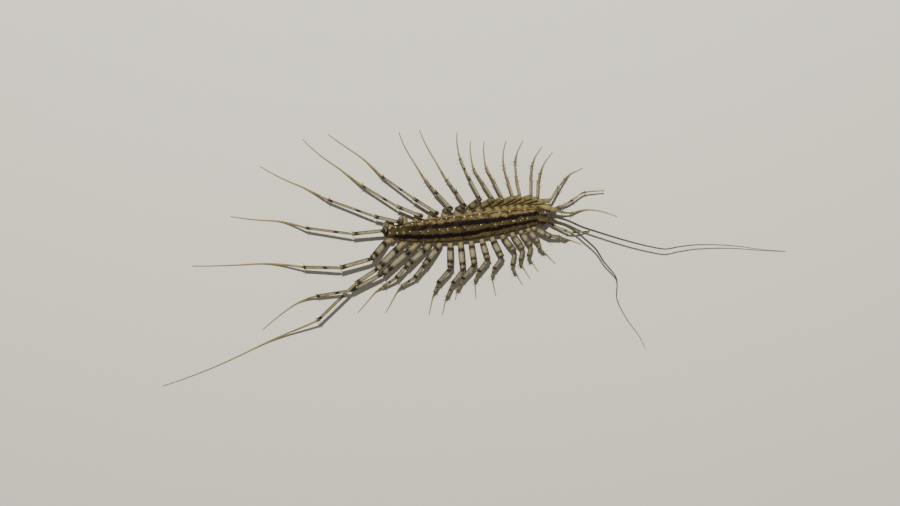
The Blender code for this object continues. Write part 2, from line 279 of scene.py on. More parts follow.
def ringedLine(line, swells, radiusAt):
    fine = []
    radii = []
    count = len(line) - 1
    for index in range(count):
        for part, swell in swells:
            fine.append(line[index].lerp(line[index + 1], part))
            radii.append(radiusAt((index + part) / count) * swell)
    return fine, radii


def ringSeam(turn, width):
    return bell(turn % 1, 0.99, 0.1) + bell(turn % 1, 0.0, width)


def keepAboveFloor(points, radii):
    for point, radius in zip(points, radii):
        point.z = max(point.z, radius)


def addHair(shape, root, direction, length, radius, dark, gold, place, bend=0.0, joints=1):
    direction = direction.normalized()
    across = direction.cross(up)
    if across.length < 0.1:
        across = direction.cross(Vector((1, 0, 0)))
    across.normalize()
    over = direction.cross(across)
    rows = []
    for joint in range(joints):
        share = joint / joints
        middle = root + direction * length * share - up * bend * length * share * share
        size = radius * (1 - 0.75 * share)
        offsets = [sideways((direction, across, over), 2 * pi * side / 3) * size for side in range(3)]
        rows.append([addPoint(shape, middle + offset, dark, gold) for offset in offsets])
    tip = addPoint(shape, root + direction * length - up * bend * length, dark, gold)
    u, v = place
    patch = 0.0015  # half a tuft's patch in the map
    corners = ((u - patch, v - patch), (u + patch, v - patch), (u, v + patch))
    addFace(shape, tuple(rows[0][::-1]), corners[::-1])
    for near, far in zip(rows, rows[1:]):
        for side, after in ((0, 1), (1, 2), (2, 0)):
            addFace(shape, (near[side], near[after], far[after], far[side]),
                    (corners[0], corners[1], (u + patch, v + patch), corners[2]))
    for side in range(3):
        addFace(shape, (rows[-1][side], rows[-1][(side + 1) % 3], tip), corners)


def addBristle(shape, tube, index, angle, reach, spread, length, radius, dark, gold, bend=0.0, joints=1):
    out = sideways(tube["frames"][index], angle)
    root = tube["line"][index] + out * tube["radii"][index] * reach
    corner = tubeCorner(tube["area"], index / (len(tube["line"]) - 1), angle)
    lean = tube["frames"][index][0] + out * spread
    addHair(shape, root, lean, length, radius, dark, gold, corner, bend, joints)


# Materials

def shellMaterial(name, look):
    material, shader = newMaterial(name)
    nodes = material.node_tree.nodes
    links = material.node_tree.links

    def addNode(kind, output, values, sources, **settings):
        node = nodes.new(f"ShaderNode{kind}")
        for setting, value in settings.items():
            setattr(node, setting, value)
        for socket, value in values.items():
            node.inputs[socket].default_value = value
        for socket, source in sources.items():
            links.new(source, node.inputs[socket])
        return node.outputs[output]

    place = addNode("TexCoord", "Object", {}, {})

    def grain(size, detail):
        return addNode("TexNoise", "Fac", {"Scale": 1 / (size * mm), "Detail": detail}, {"Vector": place})

    def ramp(factor, low, high):
        return addNode("MapRange", "Result", {"From Min": low, "From Max": high}, {"Value": factor})

    def tone(key):
        return addNode("Attribute", "Fac", {}, {}, attribute_name=key)

    def blend(factor, values, sources):  # sockets 6 and 7 are the two colours
        return addNode("Mix", 2, values, {0: factor, **sources}, data_type="RGBA")

    mottle = ramp(grain(look["mottle"], 3), 0.35, 0.7)
    base = blend(mottle, {6: (*look["light"][0], 1), 7: (*look["light"][1], 1)}, {})
    base = blend(tone("gold"), {7: (*look["gold"], 1)}, {6: base})
    speckle = ramp(grain(look["speckle"], 2), 0.6, 0.72)
    speckled = blend(speckle, {6: (*look["dark"][0], 1), 7: (*look["dark"][1], 1)}, {})
    links.new(blend(tone("dark"), {}, {6: base, 7: speckled}), shader.inputs["Base Color"])
    fine = grain(look["speckle"] * 0.6, 4)
    low, high = look["rough"]
    gloss = addNode("MapRange", "Result", {"To Min": low, "To Max": high}, {"Value": fine})
    links.new(gloss, shader.inputs["Roughness"])
    pits = addNode("TexVoronoi", "Distance", {"Scale": 1 / (look["pit"] * mm)}, {"Vector": place})
    height = addNode("Math", "Value", {}, {0: pits, 1: fine}, operation="ADD")
    strength, depth = look["bump"]
    bump = addNode("Bump", "Normal", {"Strength": strength, "Distance": depth * mm}, {"Height": height})
    links.new(bump, shader.inputs["Normal"])
    shader.inputs["Specular IOR Level"].default_value = look["shine"]
    shader.inputs["Coat Weight"].default_value = look["coat"]
    shader.inputs["Coat Roughness"].default_value = 0.25
    return material


shells = {
    "backPlate": {
        "light": ((0.042, 0.034, 0.013), (0.024, 0.019, 0.008)), "gold": (0.15, 0.11, 0.047),
        "dark": ((0.005, 0.0025, 0.0032), (0.014, 0.006, 0.008)), "mottle": 0.55, "speckle": 0.16,
        "pit": 0.13, "bump": (0.8, 0.05), "rough": (0.55, 0.8), "coat": 0.0, "shine": 0.05,
    },
    "flankSkin": {
        "light": ((0.08, 0.052, 0.018), (0.038, 0.024, 0.01)), "gold": (0.15, 0.105, 0.04),
        "dark": ((0.02, 0.011, 0.006), (0.04, 0.022, 0.012)), "mottle": 0.6, "speckle": 0.2,
        "pit": 0.18, "bump": (0.8, 0.06), "rough": (0.4, 0.65), "coat": 0.05, "shine": 0.2,
    },
    "legShell": {
        "light": ((0.235, 0.214, 0.13), (0.13, 0.114, 0.066)), "gold": (0.205, 0.154, 0.04),
        "dark": ((0.01, 0.006, 0.004), (0.028, 0.018, 0.011)), "mottle": 0.35, "speckle": 0.12,
        "pit": 0.11, "bump": (0.6, 0.03), "rough": (0.42, 0.62), "coat": 0.0, "shine": 0.2,
    },
    "feelerShell": {
        "light": ((0.042, 0.034, 0.016), (0.025, 0.02, 0.01)), "gold": (0.11, 0.086, 0.042),
        "dark": ((0.012, 0.009, 0.005), (0.022, 0.016, 0.009)), "mottle": 0.4, "speckle": 0.1,
        "pit": 0.1, "bump": (0.3, 0.015), "rough": (0.45, 0.65), "coat": 0.0, "shine": 0.3,
    },
    "fangShell": {
        "light": ((0.12, 0.055, 0.016), (0.08, 0.034, 0.01)), "gold": (0.2, 0.12, 0.035),
        "dark": ((0.012, 0.006, 0.003), (0.03, 0.012, 0.006)), "mottle": 0.3, "speckle": 0.1,
        "pit": 0.12, "bump": (0.2, 0.01), "rough": (0.2, 0.32), "coat": 0.4, "shine": 0.5,
    },
    # pale beads: their pale colour is painted highlight standing in for glints, their gloss is real
    "pearlHighlightShell": {
        "light": ((0.5, 0.42, 0.26), (0.34, 0.27, 0.16)), "gold": (0.56, 0.48, 0.3),
        "dark": ((0.1, 0.08, 0.05), (0.2, 0.15, 0.1)), "mottle": 0.3, "speckle": 0.1,
        "pit": 0.1, "bump": (0.1, 0.005), "rough": (0.16, 0.3), "coat": 0.3, "shine": 0.6,
    },
    "headShell": {
        "light": ((0.05, 0.037, 0.013), (0.026, 0.018, 0.007)), "gold": (0.07, 0.054, 0.021),
        "dark": ((0.005, 0.0025, 0.003), (0.018, 0.01, 0.006)), "mottle": 0.45, "speckle": 0.12,
        "pit": 0.09, "bump": (0.6, 0.025), "rough": (0.5, 0.7), "coat": 0.0, "shine": 0.12,
    },
    "eyeShell": {
        "light": ((0.05, 0.035, 0.025), (0.03, 0.02, 0.02)), "gold": (0.12, 0.08, 0.05),
        "dark": ((0.006, 0.005, 0.007), (0.018, 0.012, 0.014)), "mottle": 0.2, "speckle": 0.08,
        "pit": 0.06, "bump": (0.15, 0.005), "rough": (0.12, 0.22), "coat": 0.6, "shine": 0.5,
    },
}
materials = {name: shellMaterial(name, look) for name, look in shells.items()}


# Trunk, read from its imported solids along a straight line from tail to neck

trunkNames = ("trunk_rear", "trunk_middle", "trunk_front")
trunkPlaces = [vert.co.copy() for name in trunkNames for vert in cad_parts[name].data.vertices]


trunkReading = {"slices": 36, "depth": 0.95, "rearCap": 0.3, "frontCap": 0.5}


def readTrunk():
    look = trunkReading

    def slab(start, ahead, distance):
        across = leftOf(ahead)
        depth = look["depth"] * mm
        kept = [place for place in trunkPlaces if abs((place - start).dot(ahead) - distance) < depth]
        sides = [(place - start).dot(across) for place in kept]
        heights = [place.z for place in kept]
        middle = start + ahead * distance + across * (max(sides) + min(sides)) / 2
        return middle, (max(sides) - min(sides)) / 2, max(heights), min(heights)

    tail = min(place.x for place in trunkPlaces)
    neck = max(place.x for place in trunkPlaces)
    rearMiddle = ringMiddle([place for place in trunkPlaces if place.x < tail + look["rearCap"] * mm])
    frontMiddle = ringMiddle([place for place in trunkPlaces if place.x > neck - look["frontCap"] * mm])
    ahead = frontMiddle - rearMiddle
    ahead.z = 0
    length = ahead.length
    ahead.normalize()
    start = Vector((rearMiddle.x, rearMiddle.y, 0))
    count = look["slices"]
    rows = [slab(start, ahead, length * index / count) for index in range(count + 1)]
    smooth = []
    for index in range(count + 1):
        near = nearby(rows, index, (-2, -1, 0, 1, 2))
        place = sum((row[0] for row in near), Vector()) / 5
        if index in (0, count):
            place = rows[index][0]
        smooth.append((place, *[sum(row[measure] for row in near) / 5 for measure in (1, 2, 3)]))
    return smooth, length


trunkRows, trunkLength = readTrunk()


def trunkAt(distance):
    share = min(max(distance / trunkLength, 0), 0.99999) * (len(trunkRows) - 1)
    index = int(share)
    part = share - index
    before, near, far, beyond = nearby(trunkRows, index, (-1, 0, 1, 2))
    ahead = (beyond[0] - before[0]).normalized()
    past = distance - min(max(distance, 0), trunkLength)
    place = near[0].lerp(far[0], part) + ahead * past
    half, top, belly = [mix(near[measure], far[measure], part) for measure in (1, 2, 3)]
    return place, ahead, leftOf(ahead), half, top, belly


trunkShape = {
    "tailStation": -0.5, "skinRows": 230, "skinSides": 44, "flankShare": 0.9, "underPlate": 0.3,
    "fold": 0.34, "creaseNoise": 0.07, "pleat": (0.03, 0.16), "pastTail": 0.15, "pastNeck": 0.75,
    "flankPower": 0.72, "backPower": 0.8,
}
plateShape = {
    "edges": (0.0, 2.6, 6.0, 9.6, 14.2, 19.4, 23.0, 25.8, 27.7), "overhang": 0.12, "tuck": 0.4,
    "lift": 0.17, "thick": 0.07, "rows": 34, "columns": 70, "stripeHalf": 0.41, "stripeShift": 0.1,
    "stripes": ((0, 0.5), (3, 0.75), (5.5, 0.89), (13, 1.06), (21, 0.8), (27.7, 0.66)),
    "saddleHeight": 0.13, "rim": 0.05, "sink": 0.16, "archPart": 2.95, "rearDip": 0.3, "frontDip": 0.22,
    "highlightPearlSpacing": 1.3, "hairs": 70, "fringe": 26, "lastHairRow": 8, "seed": 100,
    "hairLength": (0.09, 0.16), "hairRadius": 0.016, "fringeLength": (0.12, 0.24), "fringeRadius": 0.02,
    "highlightPearls": ((0.86, 0.125, 0.9), (0.16, 0.1, 0.85), (0.04, 0.075, 0.5), (-0.8, 0.07, 0.35)),
}


def stationToDistance(station):
    return (station - trunkShape["tailStation"]) * mm


def legRoot(name):
    middles = [Vector((place.x, place.y, (top + belly) / 2)) for place, _, top, belly in trunkRows]
    gaps = [(nearestPlace(name, middle), middle) for middle in middles]
    return min(gaps, key=lambda gap: (gap[0] - gap[1]).length)[0]


legPairs = range(1, 16)
legNames = {(word, pair): f"leg_{word}_{pair:02d}" for word in sideSigns for pair in legPairs}
legRoots = {key: legRoot(name) for key, name in legNames.items()}
print("frame read: trunk", round(trunkLength / mm, 1), "mm")


# Trunk skin: flanks that swell at each leg and are pleated between the legs, with painted shade darkening
# the pleats

trunkStart = trunkRows[0][0]
trunkAhead = (trunkRows[-1][0] - trunkStart).normalized()
hipDistances = {word: [(legRoots[(word, pair)] - trunkStart).dot(trunkAhead) for pair in legPairs]
                for word in sideSigns}


def makeTrunkSkin():
    look = trunkShape
    depth, period = look["pleat"]
    shape = newShape()
    rows = []
    for row in range(look["skinRows"] + 1):
        share = row / look["skinRows"]
        distance = mix(-look["pastTail"] * mm, trunkLength + look["pastNeck"] * mm, share)
        place, _, across, half, top, belly = trunkAt(distance)
        shrink = min(1.0, ease(-0.4 * mm, 0.9 * mm, distance) + 0.25)
        side = half * look["flankShare"] - 0.05 * mm
        high = top - look["underPlate"] * mm
        middle = mix(belly, high, 0.5)
        rise = (high - belly) / 2
        ring = []
        for step in range(look["skinSides"]):
            angle = 2 * pi * step / look["skinSides"]
            aside, aloft = cos(angle), sin(angle)
            hips = hipDistances["left" if aside > 0 else "right"]
            nearHip = max(bell(distance, hip, 0.5 * mm) for hip in hips)
            x = copysign(abs(aside) ** look["flankPower"], aside) * side
            z = copysign(abs(aloft) ** look["backPower"], aloft) * rise
            flankness = bell(aloft, -0.1, 0.55)
            fold = look["fold"] * mm * nearHip * bell(aloft, -0.15, 0.6)
            crease = look["creaseNoise"] * mm * rough(place + across * x + up * z, 0.6) * flankness
            pleat = depth * mm * sin(distance / (period * mm)) * flankness * (1 - nearHip)
            out = 1 + (fold + crease + pleat) / side
            spot = place + across * x * out * shrink + up * (middle + z * shrink - place.z)
            golden = ease(0.2, 0.75, flankness) * (0.45 + 0.5 * rough(spot, 0.9))
            # the second term is painted shade: the flank darkens in the pleats between the legs
            dark = 0.75 * bell(z / rise, 0.42, 0.16) * abs(aside) + 0.35 * (1 - nearHip) * flankness
            dark += 0.25 * rough(spot, 0.35)
            ring.append(addPoint(shape, spot, clamp(dark), clamp(golden)))
        rows.append(ring)
    wrapRings(shape, rows, alongMap)
    finishPiece("trunk_skin", shape, "flankSkin", trunkNames)
    print("trunk skin", len(shape["faces"]), "faces")


# Back plates: eight arched, overlapping shells with two dark stripes and a pore saddle each.
# On a plate u runs from 0 at its rear edge to 1 at the front, w from -1 at the right to 1 at the left.

def plateDrop(w):
    return 0.63 * w * w + 0.42 * abs(w) ** 6


# Small glossy bumps on the back plates, coloured pale as painted highlight for the glints of the shell
highlightPearls = newShape()
highlightPearlShape = {"sides": 8, "tilts": (-0.1, 0.45, 0.95, 1.3), "wide": 1.25, "tall": 0.55, "patch": 0.003}
pearlFaces = 33
pearlsToRow = 20  # of the map
pearlPitch = 0.0475


def addHighlightPearl(place, size):
    look = highlightPearlShape
    sides = look["sides"]
    count = len(highlightPearls["faces"]) // pearlFaces
    rows = []
    for tilt in look["tilts"]:
        row = []
        rise = up * sin(tilt) * size * look["tall"]
        for side in range(sides):
            angle = 2 * pi * side / sides
            away = Vector((cos(angle) * look["wide"], sin(angle), 0)) * cos(tilt)
            row.append(addPoint(highlightPearls, place + away * size + rise, 0, 1.0))
        rows.append(row)
    tip = addPoint(highlightPearls, place + up * size * look["tall"], 0, 1.0)
    u, v = pearlPitch * (count % pearlsToRow), pearlPitch * (count // pearlsToRow)

    def mapPlace(along, around):
        return u + look["patch"] * around, v + look["patch"] * along

    joinRings(highlightPearls, rows, mapPlace)
    corners = (mapPlace(0, 0), mapPlace(0, 1), mapPlace(1, 1))
    for side in range(sides):
        addFace(highlightPearls, (rows[-1][side], rows[-1][(side + 1) % sides], tip), corners)
    foot = tuple(mapPlace(step // 3 / 3, step % 3 / 3) for step in range(sides))
    addFace(highlightPearls, tuple(rows[0][::-1]), foot)


def stripePlace(station):
    table = plateShape["stripes"]
    for (start, first), (end, last) in zip(table, table[1:]):
        if station <= end:
            return mix(first, last, max(0.0, station - start) / (end - start))
    return table[-1][1]


trunkEnd = plateShape["edges"][-1]


def plateTones(u, w, x, station, saddle, sideRim, spot):
    look = plateShape
    centre = stripePlace(station)
    spread = look["stripeHalf"] * min(1.0, centre / 0.8) * mix(1.0, 0.72, ease(16, 26, station))
    away = abs(x - look["stripeShift"]) + 0.18 * rough(spot, 1.3) + 0.26 * rough(spot, 0.45)
    left = ease(-0.1, 0.1, w)
    stripe = ease(centre - spread - 0.1, centre - spread + 0.08, away)
    stripe *= 1 - ease(centre + spread - 0.08, centre + spread + 0.14, away)
    stripe *= 1 - 0.5 * ease(0.05, 0.4, rough(spot, 0.8)) * left * (1 - ease(10, 17, station))
    stripe *= ease(0.3, 2, station) * mix(1, ease(2.5, 6, station), left)
    arc = abs(hypot((u - 0.5) * 2.1, (abs(x) - 0.15) / max(0.3, centre)) - 0.92)
    arcLine = 0.8 * bell(arc, 0, 0.07) * ease(0.0, 0.3, rough(spot, 1.6) + 0.25)
    sideLine = 0.75 * bell(abs(w), 0.88, 0.035)
    rearLine = 0.6 * bell(u, 0.0, 0.035)
    pore = 0.9 * bell(u, 0.1, 0.035) * bell(x, 0, 0.09)
    dark = max(stripe, arcLine, sideLine, rearLine, pore)
    dark = clamp(dark + 0.1 * rough(spot, 0.2) + 0.12 * rough(spot, 0.6))
    median = 1 - ease(centre - spread - 0.22, centre - spread, away)
    outer = ease(centre + spread, centre + spread + 0.3, away) * mix(0.45, 1.0, ease(-0.2, 0.2, w))
    golden = 0.12 * median * (0.6 + 0.6 * rough(spot, 0.7)) + 0.35 * saddle
    golden += outer * (0.6 + 0.9 * rough(spot, 0.8) + 0.5 * rough(spot, 0.3)) + 0.5 * sideRim
    return dark, clamp(golden) * (1 - dark)


def addPlatePoint(shape, rear, front, u, w, under):
    look = plateShape
    station = mix(rear - look["overhang"], front + look["tuck"], u)
    station -= (look["rearDip"] * abs(w) ** 3 - 0.12 * bell(w, 0, 0.16)) * (1 - u) ** 2
    station += look["frontDip"] * w * w * u
    place, _, across, half, top, belly = trunkAt(stationToDistance(station))
    corner = 1 - 0.1 * ease(0.75, 1.0, 1 - u) * abs(w) ** 4
    if front == trunkEnd:
        corner *= 1 - 0.2 * ease(0.6, 1.0, u) ** 2
    x = w * half * corner
    sideRim = ease(0.9, 0.96, abs(w)) * (1 - 0.6 * ease(0.96, 1.0, abs(w)))
    rearRim = 0.8 * bell(u, 0.035, 0.03)
    saddle = bell(u, 0.17, 0.1 * 4.0 / max(front - rear, 2.2)) * bell(x / mm, 0, 0.26)
    lift = look["lift"] * (1 - u) ** 1.2 - 0.1 * ease(0.8, 1.0, u) - look["sink"]
    lift += look["rim"] * max(sideRim, rearRim) + look["saddleHeight"] * saddle
    lift -= 0.1 * bell(u, 0.1, 0.05) * bell(x / mm, 0, 0.07)
    z = top - plateDrop(w) * (top - belly) / look["archPart"] + lift * mm
    spot = place + across * x + up * (z - place.z)
    z += (0.02 * rough(spot, 0.25) + 0.03 * rough(spot, 1.1)) * mm
    if under:
        z -= look["thick"] * mm
        x *= 0.985
    spot = place + across * x + up * (z - place.z)
    return addPoint(shape, spot, *plateTones(u, w, x / mm, station, saddle, sideRim, spot)), u, w


def plateCorner(entry, lower):
    return 0.02 + 0.96 * entry[1], 0.5 * lower + 0.01 + 0.48 * (entry[2] + 1) / 2


def addPlateHairs(shape, top, rear, front, draw):
    look = plateShape
    rows, columns = look["rows"], look["columns"]

    def hairAt(row, column):
        entry = top[row][column]
        _, ahead, across, *_ = trunkAt(stationToDistance(mix(rear, front, entry[1])))
        return entry, ahead, across

    for _ in range(int(look["hairs"] * (front - rear) / 3)):
        entry, ahead, across = hairAt(draw.randint(2, rows - 4), draw.randint(3, columns - 3))
        lean = up * 0.7 - ahead + Vector((0, draw.uniform(-0.3, 0.3), 0))
        length = draw.uniform(*look["hairLength"]) * mm
        dark = min(1, shape["dark"][entry[0]] + 0.35)
        root = shape["points"][entry[0]]
        addHair(shape, root, lean, length, look["hairRadius"] * mm, dark, 0.2, plateCorner(entry, 0))
    for step in range(look["fringe"]):
        for side in (-1, 1):
            row = int(mix(2, rows - look["lastHairRow"], step / (look["fringe"] - 1)))
            entry, ahead, across = hairAt(row, columns if side > 0 else 0)
            lean = across * side * 0.9 - ahead * 0.9 + up * draw.uniform(0, 0.3)
            length = draw.uniform(*look["fringeLength"]) * mm
            root = shape["points"][entry[0]]
            addHair(shape, root, lean, length, look["fringeRadius"] * mm, 0.7, 0.1, plateCorner(entry, 0))


def makeBackPlate(number, rear, front):
    look = plateShape
    shape = newShape()
    rows, columns = look["rows"], look["columns"]
    sheets = [[[addPlatePoint(shape, rear, front, row / rows, -1 + 2 * column / columns, under)
                for column in range(columns + 1)] for row in range(rows + 1)] for under in (0, 1)]
    top, bottom = sheets

    def addPatch(entries, lower):
        corners = tuple(plateCorner(entry, lower) for entry in entries)
        addFace(shape, tuple(entry[0] for entry in entries), corners)

    for lower, grid in enumerate(sheets):
        for near, far in zip(grid, grid[1:]):
            for column in range(columns):
                corners = [near[column], far[column], far[column + 1], near[column + 1]]
                addPatch(corners[::-1] if lower else corners, lower)
    outline = [(row, 0) for row in range(rows)] + [(rows, column) for column in range(columns)]
    outline += [(rows - row, columns - column) for row, column in outline]
    for near, far in zip(outline, outline[1:] + outline[:1]):
        around = ((top, near), (bottom, near), (bottom, far), (top, far))
        addPatch([grid[row][column] for grid, (row, column) in around], 0)
    draw = random.Random(look["seed"] + number)
    spacing = look["highlightPearlSpacing"]
    length = front - rear
    for row in range(int(length / spacing)):
        # rows of painted-highlight beads along the margins and the middle of each plate
        for w, size, chance in look["highlightPearls"]:
            u = (row + draw.uniform(0.25, 0.75)) * spacing / length
            if u > 0.92 or draw.random() > chance:
                continue
            entry = top[int(u * rows)][int((w + draw.uniform(-0.05, 0.05) + 1) / 2 * columns)]
            addHighlightPearl(shape["points"][entry[0]], size * draw.uniform(0.62, 1.1) * mm)
    addPlateHairs(shape, top, rear, front, draw)
    finishPiece(f"back_plate_{number}", shape, "backPlate", (), 50)


makeTrunkSkin()
edges = plateShape["edges"]
for number, (rear, front) in enumerate(zip(edges, edges[1:]), start=1):
    makeBackPlate(number, rear, front)
# one piece for all the pale beads, painted highlight on small real bumps
finishPiece("back_pearls_painted_highlight", highlightPearls, "pearlHighlightShell", ())
print("back plates", len(edges) - 1)


# Legs: a coxa, three podomeres nested in each other, and a ringed tarsus that lies along the floor

podomeres = {
    "prefemur": {
        "start": 0.46, "middle": 0.51, "end": 0.45, "wide": 1.16, "spines": 6, "spineLength": 0.68,
        "bands": ((0.3, 0.08), (0.78, 0.1), (0.98, 0.05)), "golden": ((0.08, 0.1), (0.89, 0.03)),
        "area": (0.01, 0.01, 0.24, 0.99), "warmth": 1.0,
    },
    "femur": {
        "start": 0.33, "middle": 0.36, "end": 0.39, "wide": 1.06, "spines": 5, "spineLength": 0.75,
        "bands": ((0.07, 0.09), (0.85, 0.1)), "golden": ((0.0, 0.06), (0.98, 0.05)),
        "area": (0.26, 0.01, 0.49, 0.99), "warmth": 0.5,
    },
    "tibia": {
        "start": 0.26, "middle": 0.28, "end": 0.29, "wide": 1.0, "spines": 5, "spineLength": 0.75,
        "bands": ((0.38, 0.06), (0.93, 0.07)), "golden": ((0.06, 0.08), (0.66, 0.07)),
        "area": (0.51, 0.01, 0.74, 0.99), "warmth": 0.5,
    },
}
legTube = {
    "sides": 12, "step": 0.17, "ridge": 0.05, "collar": 0.02, "lip": 0.12, "waist": 0.1, "spineRow": 0.955,
    "spineRadius": 0.065, "hairRows": 5, "hairSpacing": 0.42, "hairLength": (0.12, 0.2), "hairRadius": 0.015,
}
legRange = {
    "size": (0.94, 1.1), "contrast": 0.6, "leftContrast": 0.35, "leftSlim": (0.67, 0.84), "leftStout": 0.68,
}
coxaShape = {"start": 0.78, "end": 0.46, "area": (0.01, 0.0, 0.2, 0.009), "step": 0.12}
tarsusShape = {
    "article": 0.3, "start": 0.2, "end": 0.075, "area": (0.76, 0.01, 0.99, 0.99), "sides": 8,
    "swells": ((0.06, 0.8), (0.2, 1.0), (0.8, 1.06), (0.94, 0.84)),
    "hair": 0.13, "hairRadius": 0.013, "hairTurns": (-2.6, -1.9, -1.2, -0.5, 1.6),
    "claw": 0.2, "clawRadius": 0.03, "clawSpread": 0.25,
}


def podomereTone(look, shift, contrast, warmth):
    def tone(share, angle, place):
        wave = 0.03 * rough(place, 0.5) + shift
        top = 0.55 + 0.45 * sin(angle)
        dark = max(bell(share + wave, middle, width) * (0.6 + 0.6 * top) for middle, width in look["bands"])
        dark = dark * contrast + mix(0.42, 0.15, warmth) * (1 - contrast)
        # painted shade: dark lines along both sides of the podomere, so its edges look shaded from above
        dark = max(dark, mix(0.92, 0.35, warmth) * bell(sin(angle), 0.25, 0.5))
        dark = clamp(dark + 0.2 * rough(place, 0.22))
        gold = max(bell(share + wave, middle, width) for middle, width in look["golden"])
        gold = max(gold * (0.4 + 0.6 * contrast), 0.35 * (1 - contrast), 0.9 * warmth)
        return dark, min(1.0, gold * (1 - dark))
    return tone


def podomereRadius(look, size):
    def radiusAt(share):
        radius = mix(look["start"], look["middle"], ease(0, 0.35, share))
        radius = mix(radius, look["end"], ease(0.55, 0.95, share))
        collar = legTube["collar"] * bell(share, 0.965, 0.02) - legTube["lip"] * ease(0.96, 1.0, share)
        waist = -legTube["waist"] * (1 - ease(0, 0.08, share))
        return (radius + collar + waist) * size * mm
    return radiusAt


def addSpine(shape, tube, index, angle, spread, length, radius):
    addBristle(shape, tube, index, angle, 0.85, spread, length, radius, 0.85, 0.0, bend=0.06, joints=2)


def addCoxa(shape, middles, size, warmth):
    look = coxaShape
    root = toward(middles[0], middles[1], -0.5)
    halfway = middles[2] * 0.5 + middles[1] * 0.5

    def radiusAt(share):
        swell = 1 + 0.06 * bell(share, 0.55, 0.1)
        return taper(look, ease(0, 1, share)) * size * mm * swell

    def tone(share, angle, place):
        dark = 0.2 + 0.5 * bell(share, 0.6, 0.06) + 0.3 * rough(place, 0.3)
        return max(0.0, dark), mix(0.5, 0.9, warmth) - 0.3 * share

    line = curveThrough([root, middles[0], middles[1], halfway, middles[2]], look["step"] * mm)
    addTube(shape, line, radiusAt, legTube["sides"], tone, look["area"])


def addPodomere(shape, part, chain, size, contrast, warmth, draw):
    look = podomeres[part]
    sides, ridge = legTube["sides"], legTube["ridge"]
    line = curveThrough(chain, legTube["step"] * mm)
    last = len(line) - 1
    tone = podomereTone(look, draw.uniform(-0.03, 0.03), contrast, warmth * look["warmth"])
    radiusAt = podomereRadius(look, size)
    tube = addTube(shape, line, radiusAt, sides, tone, look["area"], ridge, look["wide"])
    spineRoot = int(last * legTube["spineRow"])
    for spine in range(look["spines"]):
        angle = 2 * pi * (spine + 0.25) / look["spines"] + draw.uniform(-0.15, 0.15)
        spread = draw.uniform(0.55, 1.0)
        if part == "tibia" and spine in (0, 2):  # two that stand off more
            spread = 2.2
        length = look["spineLength"] * draw.uniform(0.8, 1.2) * mm
        addSpine(shape, tube, spineRoot, angle, spread, length, legTube["spineRadius"] * mm)
    rows = legTube["hairRows"]
    spaces = (line[-1] - line[0]).length / (legTube["hairSpacing"] * mm)
    for row in range(rows):
        for hair in range(int(3 + spaces)):
            index = min(last, int(1 + (hair + draw.uniform(0.2, 0.8)) / (4 + spaces) * (last - 1)))
            angle = 2 * pi * (row + 0.5) / rows + draw.uniform(-0.12, 0.12)
            length = draw.uniform(*legTube["hairLength"]) * mm
            addBristle(shape, tube, index, angle, 0.93, 0.5, length, legTube["hairRadius"] * mm, 0.8, 0.0)


def addTarsus(shape, rings, middles, ankle, size, draw):
    look = tarsusShape

    def radiusAt(share):
        return taper(look, share ** 0.8) * size * mm

    chain = [toward(ankle, middles[13], 0.15)]
    for index, (ring, middle) in enumerate(zip(rings[14:22], middles[14:22])):
        share = (index + 1) / 8
        low = max(0.0, min(place.z for place in ring) - 0.03 * mm)
        low += taper(look, share) * size * mm
        chain.append(Vector((middle.x, middle.y, mix(middle.z, low, ease(0, 0.3, share)))))
    line = curveThrough(chain, look["article"] * mm)
    fine, radii = ringedLine(line, look["swells"], radiusAt)
    keepAboveFloor(fine, radii)
    count = len(line) - 1

    def tone(share, angle, place):
        joint = ringSeam(share * count, 0.08)
        dark = 0.4 * joint + 0.35 * bell(share, 0.16, 0.05) + 0.15 * ease(0.2, 1, share)
        gold = max(0.85 * (1 - ease(0.0, 0.12, share)), 0.8 * (1 - joint))
        return clamp(dark + 0.25 * rough(place, 0.5)), gold

    frames = addTube(shape, fine, radii, look["sides"], tone, look["area"])["frames"]
    for index in range(2, len(fine), 4):
        for turn in look["hairTurns"]:
            angle = turn + draw.uniform(-0.2, 0.2)
            out = sideways(frames[index], angle)
            root = fine[index] + out * radii[index] * 0.9
            lean = frames[index][0] + out * 0.55
            length = look["hair"] * draw.uniform(0.7, 1.2) * mm
            if root.z + lean.normalized().z * length < 0.01 * mm:
                lean.z = max(lean.z, (0.012 * mm - root.z) / length)
            addHair(shape, root, lean, length, look["hairRadius"] * mm, 0.7, 0.1,
                    tubeCorner(look["area"], index / (len(fine) - 1), angle))
    along, across, _ = frames[-1]
    root = fine[-1] - along * look["clawRadius"] * mm
    for spread in (-look["clawSpread"], look["clawSpread"]):
        addHair(shape, root, along + across * spread, look["claw"] * mm, look["clawRadius"] * mm, 0.95, 0,
                (look["area"][2] - 0.002, 0.5))


